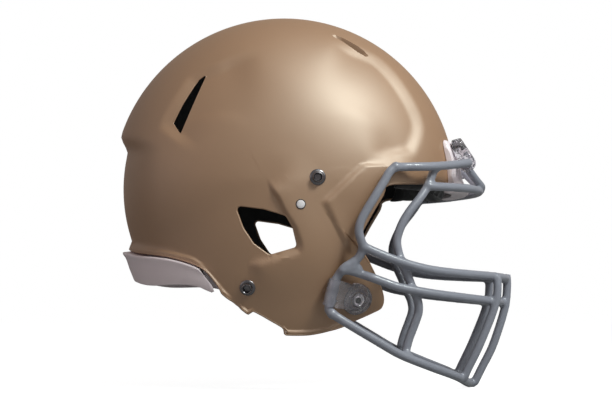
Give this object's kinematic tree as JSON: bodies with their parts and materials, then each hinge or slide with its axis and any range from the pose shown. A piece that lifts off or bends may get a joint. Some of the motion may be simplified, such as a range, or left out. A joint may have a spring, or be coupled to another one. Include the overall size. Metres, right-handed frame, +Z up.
{
  "type": "football helmet",
  "caption": "Football helmet: smooth moulded shell with ear holes and vents, padded liner, and a coated wire face guard that swings up on its brow clips after release.",
  "frame": {"origin": "middle of the head cavity at brow height, on the middle plane", "axes": "+X the way the face looks, +Y to the wearer's left, +Z up"},
  "size_m": [0.3461, 0.244, 0.3256],
  "materials": {
    "shell_paint": "satin metallic gold paint over moulded plastic",
    "bumper_white": "smooth satin white moulding",
    "clear_plastic": "clear moulded plastic, glossy",
    "steel": "polished steel",
    "zinc_nut": "zinc plated",
    "valve_rubber": "matt",
    "liner_pad": "black padded cover, matt",
    "button_black": "matt",
    "bar_coating": "thick grey coating, semi-gloss"
  },
  "bodies": {
    "helmet": {"shell": "shell_paint", "front_bumper": "bumper_white", "rear_bumper": "bumper_white", "rear_bumper_screws": "steel", "brow_clip_right": "clear_plastic", "brow_clip_left": "clear_plastic", "brow_clip_screws": "steel", "brow_clip_nuts": "zinc_nut", "snap_studs": "steel", "snap_washers": "steel", "snap_nuts": "zinc_nut", "air_valves": "valve_rubber", "receptacle_right": "steel", "receptacle_left": "steel", "front_pad": "liner_pad", "crown_pads": "liner_pad", "back_pad": "liner_pad", "neck_pad": "liner_pad", "temple_pad_right": "liner_pad", "temple_pad_left": "liner_pad", "cheek_pad_right": "liner_pad", "cheek_pad_left": "liner_pad", "jaw_pad_right": "liner_pad", "jaw_pad_left": "liner_pad"},
    "face_guard": {"top_bar": "bar_coating", "brow_bar": "bar_coating", "upper_bar": "bar_coating", "middle_bar": "bar_coating", "lower_bar": "bar_coating", "centre_bar": "bar_coating", "eye_bar_right": "bar_coating", "eye_bar_left": "bar_coating", "front_bar_right": "bar_coating", "front_bar_left": "bar_coating", "upright_right": "bar_coating", "upright_left": "bar_coating", "rear_leg_right": "bar_coating", "rear_leg_left": "bar_coating"},
    "retainer_right": {"side_retainer_right": "clear_plastic", "release_pin_right": "steel"},
    "retainer_left": {"side_retainer_left": "clear_plastic", "release_pin_left": "steel"},
    "button_right": {"release_button_right": "button_black"},
    "button_left": {"release_button_left": "button_black"}
  },
  "joints": [
    {"name": "face_guard_swing", "type": "hinge", "parent": "helmet", "child": "face_guard", "pos_m": [0.1605, 0, 0.0195], "axis": [0, -1, 0], "range_deg": [0, 90]},
    {"name": "side_retainer_right_swing", "type": "hinge", "parent": "face_guard", "child": "retainer_right", "pos_m": [0.04425, -0.10421, -0.09325], "axis": [-0.2364, 0, -0.9717], "range_deg": [0, 70]},
    {"name": "side_retainer_left_swing", "type": "hinge", "parent": "face_guard", "child": "retainer_left", "pos_m": [0.04425, 0.10421, -0.09325], "axis": [0.2364, 0, 0.9717], "range_deg": [0, 70]},
    {"name": "release_button_right_press", "type": "slide", "parent": "retainer_right", "child": "button_right", "axis": [-0.3877, 0.8708, 0.3024], "range_m": [0, 0.0025], "stiffness_N_per_m": 400, "springref_m": -0.002},
    {"name": "release_button_left_press", "type": "slide", "parent": "retainer_left", "child": "button_left", "axis": [-0.3877, -0.8708, 0.3024], "range_m": [0, 0.0025], "stiffness_N_per_m": 400, "springref_m": -0.002}
  ]
}
